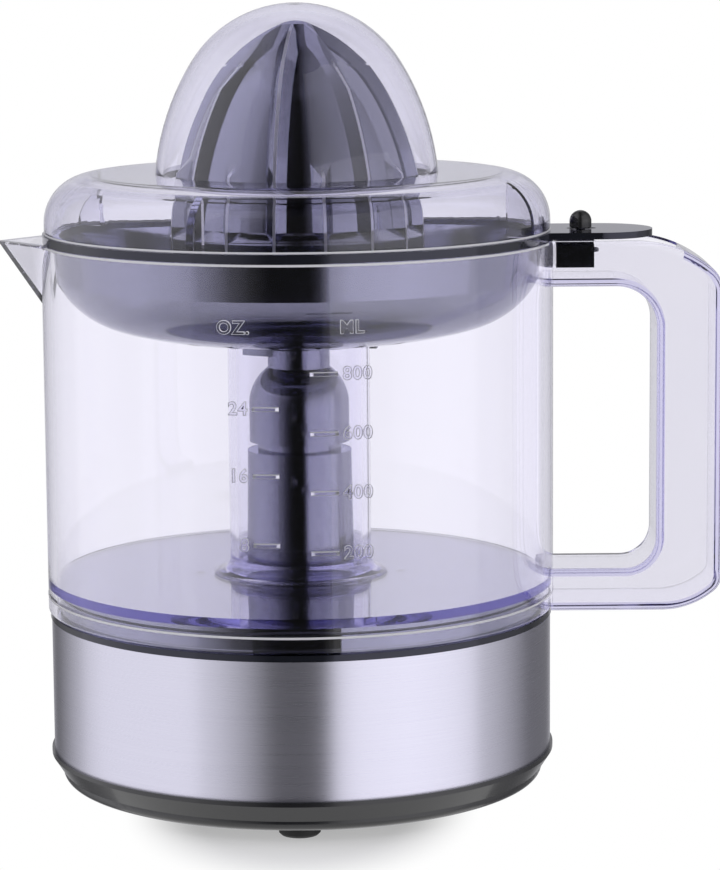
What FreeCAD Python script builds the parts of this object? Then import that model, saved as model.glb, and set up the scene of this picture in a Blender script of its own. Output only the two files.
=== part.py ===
import FreeCAD, Part
import math
import os

# Citrus press juicer with a clear jug. Millimetres. The origin is on the jug's axis at the level
# that the feet stand on, +Z is up, +X points along the handle and -X along the spout.

# Clearances
slide_gap = 0.3
running_gap = 0.05
press_travel = 2.0
press_spare = 0.5
root_sink = 1.0
cut_past = 5.0

# Feet, tray, steel band and deck
foot_radius = 5.5
foot_inset = 8.5
foot_seat_depth = 1.0
foot_count = 4
foot_edge = 0.6
stand_height = 3.2
tray_height = 8.8
tray_floor = 2.5
tray_turn_height = 3.0
tray_base_inset = 5.2
tray_side_inset = 2.3
tray_flange_proud = 0.7
tray_flange_edge = 1.2
band_inset = 0.3
band_sheet = 0.6
band_height = 37.0
deck_lip_inset = 0.5
deck_lip_height = 1.7
deck_step_gap = 0.9
deck_step_height = 6.8
deck_wall = 2.2
deck_plate = 3.0
upstand_height = 10.0
skirt_lap = 2.0
key_width = 22.0
key_height = 2.7
key_depth = 1.0
dimple_ring_radius = 27.6
dimple_radius = 1.3
dimple_depth = 1.0

# Tower on the deck
tower_gap = 2.3
tower_taper = 0.6
tower_height = 36.6
tower_wall = 3.4
tower_boss_height = 5.9
tower_head = 10.0

# Housing screws
screw_inset = 12.7
screw_angles = (45.0, 225.0, 315.0)
screw_radius = 1.5
screw_head_radius = 3.0
screw_head_height = 2.0
screw_seat_height = 14.0
screw_grip = 12.0
boss_radius = 4.6
boss_split = 25.0

# Cord gland at the back
gland_height = 24.0
gland_neck_radius = 4.8
gland_flange_radius = 7.2
gland_flange = 1.6
gland_lip = 0.6
gland_bore_radius = 3.2

# Gear train
gear_module = 0.8
tooth_rise = 0.95
tooth_drop = 1.25
pressure_angle = math.radians(25.0)
tooth_backlash = 0.09
pinion_teeth = 12
idler_teeth = 48
output_teeth = 60
gear_width = 6.0
gear_layer_gap = 1.0
motor_bearing = math.radians(184.5)
plate_height = 25.0
plate_thickness = 2.0
plate_radius = 48.0
plate_centre = (-4.0, 8.0)
post_places = ((30.0, 12.0), (22.0, 42.0), (-32.0, -4.0), (0.0, -32.0))
post_radius = 3.5
post_screw_radius = 1.4
post_screw_head_radius = 2.8
post_screw_head = 2.0
post_screw_grip = 12.0
axle_radius = 2.0
axle_end = 1.0
idler_hub_radius = 3.6
output_hub_radius = 6.5
output_hub_rise = 2.0
washer_height = 1.0

# Motor
can_gap = 2.087
can_wall = 1.2
can_height = 21.5
coil_gap = 2.0
coil_groove = 1.5
coil_depth = 9.8
rotor_gap = 0.6
rotor_end_gap = 3.0

# Drive shaft, return spring and start switch
shaft_radius = 4.0
shaft_flat = 3.2
shaft_end_height = 18.8
bush_wall = 3.0
bush_length = 13.0
seal_radius = 8.5
seal_height = 2.9
seal_lip = 0.9
cup_radius = 6.0
cup_height = 16.9
cup_spring_radius = 5.0
cup_web = 4.0
cup_arm_length = 17.0
cup_arm_width = 6.0
cup_arm_height = 2.5
guide_wall = 1.9
guide_height = 11.8
spring_coil_radius = 3.9
spring_wire_radius = 0.7
spring_turns = 5
spring_post_gap = 1.0
spring_post_height = 4.0
switch_length = 17.0
switch_width = 10.0
switch_height = 11.0
switch_start = 9.6
plunger_place = 14.8
plunger_radius = 1.3
plunger_depth = 4.0

# Drive coupler
coupler_gap = 3.5
coupler_wall = 1.6
coupler_skirt = 11.1
coupler_shoulder = 9.1
coupler_bulge = 1.3
coupler_neck_radius = 8.5
coupler_grip = 9.0
drive_hex_flats = 11.0
drive_hex_length = 45.0

# Jug
jug_radius = 69.5
jug_wall = 2.2
jug_floor = 2.5
jug_height = 100.3
jug_gap = 0.7
column_radius = 19.4
column_wall = 2.2
spout_reach = 12.0
spout_half_width = 15.5
spout_depth = 19.2
spout_tip_radius = 2.0
spout_inner_tip_radius = 0.7
spout_root_inset = 13.9
spout_wall = 1.9

# Handle
handle_reach = 45.5
handle_root_inset = 10.5
handle_width = 26.0
handle_grip = 18.0
handle_wall = 2.2
handle_top_arm = 12.3
handle_bottom_arm = 11.6
handle_top_drop = 0.3
handle_top_sweep = 32.0
handle_top_corner = 9.0
handle_low_sweep = 22.0
handle_low_corner = 6.0
handle_sweep_turn = math.radians(40.0)
handle_gap_top_round = 11.0
handle_gap_low_round = 8.5
handle_edge_round = 2.0
handle_mouth_reach = 34.5
handle_drop = 1.2

# Strainer
rim_inset = 0.3
rim_height = 2.2
bowl_wall = 1.8
bowl_gap = 0.8
bowl_depth = 26.7
bowl_side = 10.2
bowl_taper = 1.0
bowl_cheek_out = 2.9
bowl_cheek_drop = 0.2
bowl_floor_sag = 0.85
bowl_turn_radius = 50.5
bowl_turn_rise = 3.7
bowl_foot_radius = 25.5
collar_gap = 0.5
collar_wall = 1.9
collar_drop = 1.4
lug_length = 9.5
lug_drop = 1.6
lug_count = 3
hub_wall = 3.0
hub_taper = 1.2
hub_ledge_gap = 2.0
slot_count = 24
slot_width = 2.0
slot_inner_radius = 30.0
slot_outer_radius = 46.0
tab_reach = 27.0
tab_width = 29.0
tab_thickness = 1.8
tab_slot_start = 3.7

# Latch under the tab
latch_guide_reach = 10.8
latch_guide_width = 12.4
latch_guide_wall = 1.5
latch_guide_floor = 3.9
latch_guide_depth = 8.3
latch_plate_reach = 12.5
latch_plate_height = 2.5
latch_stem_radius = 1.2
latch_stem_reach = 7.5
latch_travel = 2.4
knob_radius = 3.0
knob_height = 4.6

# Sliding bush in the strainer's hub
hub_bush_wall = 3.0
hub_bush_length = 10.0
hub_key_width = 4.0
hub_key_depth = 1.2

# Reamer
reamer_radius = 34.6
reamer_drop = 6.9
reamer_height = 63.6
reamer_band = 9.3
reamer_foot_slope = 3.3
reamer_nose = (3.0, 0.55)
reamer_cheek = (15.8, 8.1)
reamer_shoulder = (24.9, 19.4)
reamer_wall = 2.2
nose_radius = 4.5
nose_flank = 5.2
rib_depth = 2.6
rib_root = 3.1
rib_crest = 0.35
rib_sink = 0.5
rib_seat = 7.8
rib_turn = -99.2
long_ribs = 4
middle_rib_drop = 9.6
short_rib_drop = 35.0
stem_wall = 2.8
stem_length = 6.0
stem_collar = 2.0
socket_gap = 0.25

# Lid
lid_inset = 0.5
lid_wall = 2.0
lid_flange_height = 15.9
lid_shoulder = 13.0
lid_headroom = 2.8
dome_room = 3.8
dome_cheek_radius = 28.2
dome_cheek_drop = 15.6
lid_rib_count = 4
lid_rib_turn = 247.0
lid_rib_depth = 8.5
lid_rib_width = 2.0

# Radii and reaches worked out from the sizes above
jug_inner_radius = jug_radius - jug_wall
column_inner_radius = column_radius - column_wall
deck_lip_radius = jug_radius - deck_lip_inset
deck_step_radius = jug_inner_radius - deck_step_gap
band_radius = deck_lip_radius - band_inset
deck_skirt_radius = band_radius - band_sheet - slide_gap
upstand_outer_radius = deck_skirt_radius - deck_wall - slide_gap
upstand_inner_radius = upstand_outer_radius - deck_wall
guide_radius = cup_radius + slide_gap + guide_wall
tray_flange_radius = band_radius + tray_flange_proud
tray_side_radius = band_radius - tray_side_inset
tray_base_radius = band_radius - tray_base_inset
foot_ring_radius = tray_base_radius - foot_inset
screw_ring_radius = band_radius - screw_inset
tower_base_radius = column_inner_radius - tower_gap
tower_top_radius = tower_base_radius - tower_taper
coupler_radius = column_inner_radius - coupler_gap
tower_boss_radius = coupler_radius - coupler_wall - 2.0 * slide_gap
spout_root = jug_radius - spout_root_inset
handle_root = jug_radius - handle_root_inset
handle_mouth = jug_radius + handle_mouth_reach
rim_radius = jug_radius - rim_inset
tab_end = jug_radius + tab_reach
latch_guide_end = jug_radius + latch_guide_reach
latch_plate_end = jug_radius + latch_plate_reach
latch_stem_place = jug_radius + latch_stem_reach
lid_radius = rim_radius - lid_inset
lid_rib_start = lid_radius - lid_rib_depth
dome_radius = reamer_radius + dome_room

# Levels worked out from the sizes above
tray_floor_top = stand_height + tray_floor
tray_top = stand_height + tray_height
band_top = tray_top + band_height
deck_lip_top = band_top + deck_lip_height
deck_top = deck_lip_top + deck_step_height
deck_under = deck_top - deck_plate
tower_top = deck_top + tower_height
boss_top = tower_top + tower_boss_height
jug_bottom = deck_lip_top + jug_gap
jug_floor_top = deck_top + jug_floor
jug_rim = jug_bottom + jug_height
rim_top = jug_rim + rim_height
bowl_under = jug_rim - bowl_depth
bowl_floor = bowl_under + bowl_wall
column_top = bowl_under + press_spare
reamer_bottom = rim_top - reamer_drop
reamer_top = reamer_bottom + reamer_height
rib_bottom = reamer_bottom + reamer_band
lid_top = reamer_top + lid_headroom + lid_wall
lid_flange_top = rim_top + lid_flange_height
plate_under = tray_floor_top + plate_height
plate_top = plate_under + plate_thickness
gear_base = plate_top + washer_height + press_spare
output_base = gear_base + gear_width + gear_layer_gap
output_top = output_base + gear_width
skirt_bottom = tower_top + press_travel + press_spare
coupler_ceiling = boss_top + press_travel + press_spare
shaft_bottom = tray_floor_top + shaft_end_height
shaft_top = coupler_ceiling + coupler_grip
coupler_shoulder_bottom = skirt_bottom + coupler_skirt
coupler_neck_bottom = coupler_shoulder_bottom + coupler_shoulder
stem_bottom = reamer_bottom - stem_length
neck_top = stem_bottom - press_spare
hex_top = neck_top + drive_hex_length
stem_radius = drive_hex_flats / math.sqrt(3.0) + socket_gap + stem_wall
hub_bush_radius = stem_radius + running_gap + hub_bush_wall
hub_bore_radius = hub_bush_radius + running_gap
hub_top = reamer_bottom - press_travel - press_spare
hub_bush_top = hub_top
hub_bush_bottom = hub_bush_top - hub_bush_length
idler_place = (0.0, gear_module * (output_teeth + pinion_teeth) / 2.0)
motor_arm = gear_module * (idler_teeth + pinion_teeth) / 2.0
motor_place = (
    idler_place[0] + motor_arm * math.cos(motor_bearing),
    idler_place[1] + motor_arm * math.sin(motor_bearing),
)
motor_reach = math.hypot(*motor_place)
can_radius = min(upstand_inner_radius - motor_reach, motor_reach - guide_radius) - can_gap
coil_inner_radius = can_radius - can_wall - coil_depth
rotor_radius = coil_inner_radius - rotor_gap
origin = FreeCAD.Vector(0, 0, 0)
up = FreeCAD.Vector(0, 0, 1)


def at(r, z):
    """A point of the plane through the axis and the handle."""
    return FreeCAD.Vector(r, 0, z)


def outline(start, *steps):
    """A closed wire in that plane. A step is the next corner, or a pair: a point on an arc and its end."""
    edges = []
    here = start
    for step in steps + (start,):
        arc = isinstance(step[0], tuple)
        end = step[1] if arc else step
        if arc:
            edges.append(Part.Arc(at(*here), at(*step[0]), at(*end)).toShape())
        elif math.dist(here, end) > 1e-6:
            edges.append(Part.makeLine(at(*here), at(*end)))
        here = end
    return Part.Wire(edges)


def turned(start, *steps):
    """The outline turned all the way round the axis."""
    return Part.Face(outline(start, *steps)).revolve(origin, up, 360)


def slab(wire, width):
    """An outline given a width, half to each side of the plane through the handle."""
    moved = wire.translated(FreeCAD.Vector(0, -width / 2.0, 0))
    return Part.Face(moved).extrude(FreeCAD.Vector(0, width, 0))


def rod(radius, bottom, top, place=(0.0, 0.0)):
    return Part.makeCylinder(radius, top - bottom, FreeCAD.Vector(place[0], place[1], bottom))


def tube(outer, inner, bottom, top, place=(0.0, 0.0)):
    return rod(outer, bottom, top, place).cut(rod(inner, bottom, top, place))


def block(x, y, z):
    """A box from three (low, high) pairs."""
    corner = FreeCAD.Vector(x[0], y[0], z[0])
    return Part.makeBox(x[1] - x[0], y[1] - y[0], z[1] - z[0], corner)


def spun(shape, angle):
    copy = shape.copy()
    copy.rotate(origin, up, angle)
    return copy


def around(radius, degrees):
    angle = math.radians(degrees)
    return (radius * math.cos(angle), radius * math.sin(angle))


def joined(shapes):
    """Shapes that overlap, as one solid with no seams between coplanar faces."""
    return shapes[0].multiFuse(shapes[1:]).removeSplitter()


def centre_of(start, middle, end):
    """The centre of the circle through three points."""
    centre = Part.Circle(at(*start), at(*middle), at(*end)).Center
    return (centre.x, centre.z)


def inset(point, centre, depth):
    """A point moved towards a centre."""
    reach = math.dist(point, centre)
    share = depth / reach
    return tuple(p + (c - p) * share for p, c in zip(point, centre))


def tangent_arc(start, direction, end):
    """The middle of the arc that leaves a point along a direction and reaches an end."""
    chord = (end[0] - start[0], end[1] - start[1])
    length = math.hypot(*chord)
    turn = math.atan2(chord[1], chord[0]) - math.atan2(direction[1], direction[0])
    bulge = length / 2.0 * math.tan(turn / 2.0)
    middle = ((start[0] + end[0]) / 2.0, (start[1] + end[1]) / 2.0)
    return (middle[0] + chord[1] / length * bulge, middle[1] - chord[0] / length * bulge)


def swept_corner(x, z, sweep, corner, side):
    """The two arcs that round an outer corner at x: a long sweep from the level z, then a short corner.

    side is 1 for a corner above the sweep's centre and -1 for one below it. Gives the start of the
    sweep, the point where the arcs meet, a point on each arc and the end on the upright.
    """
    reach = sweep - corner
    across = reach * math.sin(handle_sweep_turn)
    along = reach * math.cos(handle_sweep_turn)
    sweep_centre = (x - corner - across, z - side * sweep)
    corner_centre = (x - corner, sweep_centre[1] + side * along)

    def on(centre, radius, turn):
        return (centre[0] + radius * math.sin(turn), centre[1] + side * radius * math.cos(turn))

    start = (sweep_centre[0], z)
    on_sweep = on(sweep_centre, sweep, handle_sweep_turn / 2.0)
    meet = on(sweep_centre, sweep, handle_sweep_turn)
    on_corner = on(corner_centre, corner, (handle_sweep_turn + math.pi / 2.0) / 2.0)
    end = (x, corner_centre[1])
    return start, on_sweep, meet, on_corner, end


def gear_blank(teeth, tooth_angle, bottom, top, place):
    """A spur gear with involute flanks and one tooth centred on the given angle."""
    pitch = gear_module * teeth / 2.0
    base = pitch * math.cos(pressure_angle)
    tip = pitch + tooth_rise * gear_module
    root = pitch - tooth_drop * gear_module
    pitch_half = math.pi / (2.0 * teeth) - tooth_backlash / (2.0 * pitch)
    involute = math.tan(pressure_angle) - pressure_angle

    def half_angle(radius):
        slope = math.acos(min(1.0, base / radius))
        return pitch_half + involute - (math.tan(slope) - slope)

    flank_start = max(base, root)
    levels = [root, flank_start, (flank_start + pitch) / 2.0, pitch, (pitch + tip) / 2.0, tip]
    levels = levels if base > root else levels[1:]
    points = []

    def mark(radius, angle):
        x = place[0] + radius * math.cos(angle)
        y = place[1] + radius * math.sin(angle)
        points.append(FreeCAD.Vector(x, y, bottom))

    for tooth in range(teeth):
        middle = tooth_angle + 2.0 * math.pi * tooth / teeth
        for radius in levels:
            mark(radius, middle - half_angle(max(radius, base)))
        for radius in reversed(levels):
            mark(radius, middle + half_angle(max(radius, base)))
    wire = Part.makePolygon(points + points[:1])
    return Part.Face(wire).extrude(FreeCAD.Vector(0, 0, top - bottom))


def hexagon(flats, bottom, top):
    """A six-sided bar on the axis."""
    radius = flats / math.sqrt(3.0)
    points = [FreeCAD.Vector(*around(radius, 60.0 * k), bottom) for k in range(7)]
    return Part.Face(Part.makePolygon(points)).extrude(FreeCAD.Vector(0, 0, top - bottom))


def foot_places():
    return [around(foot_ring_radius, 360.0 * k / foot_count - 90.0) for k in range(foot_count)]


def screw_places():
    return [around(screw_ring_radius, angle) for angle in screw_angles]


def rubber_feet():
    feet = []
    for place in foot_places():
        foot = rod(foot_radius, 0.0, stand_height + foot_seat_depth, place)
        rim = [e for e in foot.Edges if e.Closed and e.CenterOfMass.z < foot_edge]
        feet.append(foot.makeChamfer(foot_edge, rim))
    return Part.makeCompound(feet)


def bottom_tray():
    flange_low = tray_top - tray_flange_edge
    base_edge = (tray_base_radius, stand_height)
    side_edge = (tray_side_radius, stand_height + tray_turn_height)
    low_turn = tangent_arc(base_edge, (1.0, 0.0), side_edge)
    shell = turned(
        (0.0, stand_height),
        base_edge,
        (low_turn, side_edge),
        (tray_flange_radius, flange_low),
        (tray_flange_radius, tray_top),
        (upstand_outer_radius, tray_top),
        (upstand_outer_radius, tray_top + upstand_height),
        (upstand_inner_radius, tray_top + upstand_height),
        (upstand_inner_radius, tray_floor_top),
        (0.0, tray_floor_top),
    )
    guide_inner = guide_radius - guide_wall
    guide_top = tray_floor_top + guide_height
    guide = tube(guide_radius, guide_inner, tray_floor_top, guide_top)
    post_outer = spring_coil_radius - spring_wire_radius - spring_post_gap
    post = rod(post_outer, tray_floor_top, tray_floor_top + spring_post_height)
    bosses = [rod(boss_radius, tray_floor_top, tray_floor_top + boss_split, p) for p in screw_places()]
    tray = joined([shell, guide, post] + bosses)
    for place in foot_places():
        tray = tray.cut(rod(foot_radius, stand_height, stand_height + foot_seat_depth, place))
    for place in screw_places():
        seat = tray_floor_top + screw_seat_height
        tray = tray.cut(rod(screw_head_radius + slide_gap, stand_height, seat, place))
        tray = tray.cut(rod(screw_radius + slide_gap, seat, tray_floor_top + boss_split, place))
    return tray


def steel_band():
    band = tube(band_radius, band_radius - band_sheet, tray_top, band_top)
    return band.cut(gland_bar(gland_neck_radius + slide_gap, 0.0, band_radius * 2.0))


def gland_bar(radius, near, far):
    """A bar along +Y at the gland's height."""
    start = FreeCAD.Vector(0, near, gland_height)
    return Part.makeCylinder(radius, far - near, start, FreeCAD.Vector(0, 1, 0))


def cord_gland():
    inside = math.sqrt((band_radius - band_sheet) ** 2 - gland_flange_radius**2) - running_gap
    outside = band_radius + running_gap
    neck = gland_bar(gland_neck_radius, inside, outside)
    inner = gland_bar(gland_flange_radius, inside - gland_flange, inside)
    outer = Part.makeCone(
        gland_flange_radius,
        gland_neck_radius + gland_lip,
        gland_flange,
        FreeCAD.Vector(0, outside, gland_height),
        FreeCAD.Vector(0, 1, 0),
    )
    bore = gland_bar(gland_bore_radius, inside - gland_flange, outside + gland_flange)
    return joined([inner, neck, outer]).cut(bore)


def deck_keys(grow):
    """Two blocks at the front and back of the step, where the jug's skirt is keyed."""
    half = key_width / 2.0 + grow
    inner = deck_step_radius - key_depth - grow
    outer = jug_radius - jug_wall / 2.0
    return half, inner, outer


def top_deck():
    skirt_inner = deck_skirt_radius - deck_wall
    skirt_end = tray_top + upstand_height - skirt_lap
    step_inner = deck_step_radius - deck_wall
    bush_outer = shaft_radius + running_gap + bush_wall
    bush_top = boss_top - seal_height
    head_bottom = tower_top - tower_head
    hollow = tower_base_radius - tower_wall
    shell = turned(
        (hollow, deck_under),
        (hollow, head_bottom),
        (bush_outer, head_bottom),
        (bush_outer, bush_top),
        (seal_radius, bush_top),
        (seal_radius, boss_top),
        (tower_boss_radius, boss_top),
        (tower_boss_radius, tower_top),
        (tower_top_radius, tower_top),
        (tower_base_radius, deck_top),
        (deck_step_radius, deck_top),
        (deck_step_radius, deck_lip_top),
        (deck_lip_radius, deck_lip_top),
        (deck_lip_radius, band_top),
        (deck_skirt_radius, band_top),
        (deck_skirt_radius, skirt_end),
        (skirt_inner, skirt_end),
        (skirt_inner, band_top - deck_wall),
        (step_inner, band_top),
        (step_inner, deck_under),
    )
    boss_bottom = tray_floor_top + boss_split
    bosses = [rod(boss_radius, boss_bottom, deck_under + root_sink, p) for p in screw_places()]
    posts = [rod(post_radius, plate_top, deck_under + root_sink, p) for p in post_places]
    deck = joined([shell] + bosses + posts)
    for place in screw_places():
        deck = deck.cut(rod(screw_radius, boss_bottom, boss_bottom + screw_grip, place))
    for place in post_places:
        deck = deck.cut(rod(post_screw_radius, plate_top, plate_top + post_screw_grip, place))
    half, inner, outer = deck_keys(slide_gap)
    for angle in (0.0, 180.0):
        notch = block((-half, half), (-outer, -inner), (deck_lip_top, deck_top + cut_past))
        deck = deck.cut(spun(notch, angle))
    for side in (-1.0, 1.0):
        place = (side * dimple_ring_radius, 0.0)
        deck = deck.cut(rod(dimple_radius, deck_top - dimple_depth, deck_top, place))
    gland_room = gland_bar(gland_flange_radius + slide_gap, 0.0, band_radius)
    return deck.cut(gland_room)


def tray_screws():
    seat = tray_floor_top + screw_seat_height
    tip = tray_floor_top + boss_split + screw_grip
    screws = []
    for place in screw_places():
        head = rod(screw_head_radius, seat - screw_head_height, seat, place)
        screws.append(head.fuse(rod(screw_radius, seat, tip, place)))
    return Part.makeCompound(screws)


def gear_plate():
    plate = rod(plate_radius, plate_under, plate_top, plate_centre)
    plate = plate.common(rod(upstand_inner_radius - slide_gap, plate_under, plate_top))
    holes = [rod(post_screw_radius + slide_gap, plate_under, plate_top, p) for p in post_places]
    holes.append(rod(shaft_radius + running_gap + bush_wall / 2.0, plate_under, plate_top))
    holes.append(rod(axle_radius, plate_under, plate_top, idler_place))
    holes.append(rod(axle_radius + running_gap, plate_under, plate_top, motor_place))
    return plate.cut(Part.makeCompound(holes))


def gear_plate_screws():
    screws = []
    for place in post_places:
        head = rod(post_screw_head_radius, plate_under - post_screw_head, plate_under, place)
        screws.append(head.fuse(rod(post_screw_radius, plate_under, plate_top + post_screw_grip, place)))
    return Part.makeCompound(screws)


def lower_bush():
    sleeve = shaft_radius + running_gap + bush_wall / 2.0
    body = rod(sleeve, plate_under, plate_top)
    washer = rod(output_hub_radius, plate_top, plate_top + washer_height)
    bore = rod(shaft_radius + running_gap, plate_under, plate_top + washer_height)
    return joined([body, washer]).cut(bore)


def upper_bush():
    outer = shaft_radius + running_gap + bush_wall
    top = boss_top - seal_height
    return tube(outer, shaft_radius + running_gap, top - bush_length, top)


def shaft_seal():
    bottom = boss_top - seal_height
    inner = shaft_radius + running_gap
    return turned(
        (inner, bottom),
        (seal_radius, bottom),
        (seal_radius, boss_top),
        (seal_radius - 2.0 * seal_lip, boss_top),
        (inner + seal_lip, bottom + seal_lip),
        (inner + seal_lip, boss_top),
        (inner, boss_top),
    )


def motor_can():
    bottom = plate_under - can_height
    can = rod(can_radius, bottom, plate_under, motor_place)
    can = can.cut(rod(can_radius - can_wall, bottom + can_wall, plate_under, motor_place))
    nest = rod(2.0 * axle_radius, bottom + can_wall, bottom + can_wall + axle_radius, motor_place)
    can = joined([can, nest])
    return can.cut(rod(axle_radius + running_gap, bottom + can_wall, plate_under, motor_place))


def motor_coil():
    bottom = plate_under - can_height + can_wall
    outer = can_radius - can_wall
    top = plate_under - coil_gap
    ring = tube(outer, coil_inner_radius, bottom, top, motor_place)
    groove = tube(outer, outer - coil_groove, bottom + coil_gap, top - coil_gap, motor_place)
    return ring.cut(groove)


def rotor_span():
    """The magnet's bottom and top."""
    return plate_under - can_height + can_wall + rotor_end_gap, plate_under - rotor_end_gap


def rotor_magnet():
    bottom, top = rotor_span()
    return tube(rotor_radius, axle_radius, bottom, top, motor_place)


def rotor_shaft():
    bottom = plate_under - can_height + can_wall
    return rod(axle_radius, bottom, gear_base + gear_width, motor_place)


def motor_pinion():
    half_tooth = math.pi / pinion_teeth
    facing = motor_bearing + math.pi + half_tooth
    blank = gear_blank(pinion_teeth, facing, gear_base, gear_base + gear_width, motor_place)
    return blank.cut(rod(axle_radius, gear_base, gear_base + gear_width, motor_place))


def idler_axle():
    return rod(axle_radius, plate_under, output_top + axle_end, idler_place)


def idler_gear():
    half_tooth = math.pi / pinion_teeth
    facing = half_tooth - math.pi / 2.0
    layer = gear_base + gear_width
    large = gear_blank(idler_teeth, motor_bearing, gear_base, layer, idler_place)
    small = gear_blank(pinion_teeth, facing, layer, output_top, idler_place)
    hub = rod(idler_hub_radius, plate_top, gear_base, idler_place)
    bore = rod(axle_radius + running_gap, plate_top, output_top, idler_place)
    return joined([large, small, hub]).cut(bore)


def output_gear():
    hub_bottom = plate_top + washer_height
    blank = gear_blank(output_teeth, math.pi / 2.0, output_base, output_top, (0.0, 0.0))
    hub_top_level = output_top + output_hub_rise
    hub = rod(output_hub_radius, hub_bottom, hub_top_level)
    bore = rod(shaft_radius + running_gap, hub_bottom, hub_top_level)
    bore = bore.cut(flat_side(shaft_flat + running_gap, hub_bottom, hub_top_level))
    return joined([blank, hub]).cut(bore)


def flat_side(distance, bottom, top):
    """What lies beyond a flat on the shaft, at a distance from the axis."""
    wide = 2.0 * shaft_radius
    return block((distance, wide), (-wide, wide), (bottom, top))


def drive_shaft():
    bar = rod(shaft_radius, shaft_bottom, shaft_top)
    low = plate_top + washer_height - press_spare
    high = output_top + output_hub_rise + press_travel + press_spare
    return bar.cut(flat_side(shaft_flat, low, high))


def drive_coupler():
    inner = tower_boss_radius + 2.0 * slide_gap
    waist_radius = (coupler_radius + coupler_neck_radius) / 2.0 + coupler_bulge
    waist = (waist_radius, (coupler_shoulder_bottom + coupler_neck_bottom) / 2.0)
    bottle = turned(
        (shaft_radius, coupler_ceiling),
        (inner, coupler_ceiling),
        (inner, skirt_bottom),
        (coupler_radius, skirt_bottom),
        (coupler_radius, coupler_shoulder_bottom),
        (waist, (coupler_neck_radius, coupler_neck_bottom)),
        (coupler_neck_radius, neck_top),
        (0.0, neck_top),
        (0.0, shaft_top),
        (shaft_radius, shaft_top),
    )
    return joined([bottle, hexagon(drive_hex_flats, neck_top - root_sink, hex_top)])


def thrust_cup():
    top = plate_under - slide_gap
    bottom = top - cup_height
    cup = rod(cup_radius, bottom, top)
    arm_bottom = shaft_bottom - cup_web
    arm_half = cup_arm_width / 2.0
    arm = block((0.0, cup_arm_length), (-arm_half, arm_half), (arm_bottom, arm_bottom + cup_arm_height))
    cup = joined([cup, arm])
    cup = cup.cut(rod(shaft_radius + running_gap, shaft_bottom, top))
    return cup.cut(rod(cup_spring_radius, bottom, shaft_bottom - cup_web))


def return_spring():
    bottom = tray_floor_top + spring_wire_radius
    top = shaft_bottom - cup_web - spring_wire_radius
    half_turns = 2 * spring_turns
    rise = (top - bottom) / half_turns

    def along(k):
        """A point of the wire's middle line, k half turns up."""
        return FreeCAD.Vector(*around(spring_coil_radius, 180.0 * k), bottom + rise * k)

    arcs = [Part.Arc(along(k), along(k + 0.5), along(k + 1)).toShape() for k in range(half_turns)]
    section = Part.makeCircle(spring_wire_radius, along(0), FreeCAD.Vector(0, 1, 0))
    return Part.Wire(arcs).makePipeShell([Part.Wire(section)], True, False)


def switch_top():
    return tray_floor_top + switch_height


def switch_body():
    half = switch_width / 2.0
    end = switch_start + switch_length
    body = block((switch_start, end), (-half, half), (tray_floor_top, switch_top()))
    hole_bottom = switch_top() - plunger_depth - press_travel
    return body.cut(rod(plunger_radius + running_gap, hole_bottom, switch_top(), (plunger_place, 0.0)))


def switch_plunger():
    top = shaft_bottom - cup_web
    return rod(plunger_radius, switch_top() - plunger_depth + press_spare, top, (plunger_place, 0.0))


def spout_solid(inner):
    """A cone over a round-tipped triangle at the rim, which narrows to a point on the wall below."""
    wall = spout_wall if inner else 0.0
    side = math.atan2(spout_half_width, spout_reach)
    tip_x = -(jug_radius + spout_reach) + (wall / math.sin(side) if inner else 0.0)
    round_tip = spout_inner_tip_radius if inner else spout_tip_radius
    back_x = -spout_root
    centre_x = tip_x + round_tip
    touch = (centre_x - round_tip * math.sin(side), round_tip * math.cos(side))
    back = (back_x, touch[1] + (back_x - touch[0]) * math.tan(side))
    top = jug_rim + (root_sink if inner else 0.0)
    corners = [FreeCAD.Vector(x, y, top) for x, y in ((back_x, back[1]), touch, (tip_x, 0.0))]
    mirror = [FreeCAD.Vector(c.x, -c.y, top) for c in corners]
    rim = Part.Wire(
        [
            Part.makeLine(corners[0], corners[1]),
            Part.Arc(corners[1], corners[2], mirror[1]).toShape(),
            Part.makeLine(mirror[1], mirror[0]),
            Part.makeLine(mirror[0], corners[0]),
        ]
    )
    foot = at(-jug_radius + root_sink + wall, jug_rim - spout_depth + wall)
    return Part.makeLoft([Part.Vertex(foot), rim], True, True)


def jug_vessel():
    body = rod(jug_radius, jug_bottom, jug_rim)
    body = joined([body, spout_solid(False)])
    room = turned(
        (column_radius, jug_floor_top),
        (jug_inner_radius, jug_floor_top),
        (jug_inner_radius, jug_rim + cut_past),
        (0.0, jug_rim + cut_past),
        (0.0, column_top),
        (column_radius, column_top),
    )
    under = turned(
        (0.0, jug_bottom),
        (jug_inner_radius, jug_bottom),
        (jug_inner_radius, deck_top),
        (column_inner_radius, deck_top),
        (column_inner_radius, column_top),
        (0.0, column_top),
    )
    body = body.cut(room).cut(under).cut(spout_solid(True))
    half, inner, outer = deck_keys(0.0)
    low = jug_bottom + jug_gap
    for angle in (0.0, 180.0):
        key = block((-half, half), (-outer, -inner), (low, low + key_height))
        body = body.fuse(spun(key, angle))
    return body.removeSplitter()


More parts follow.
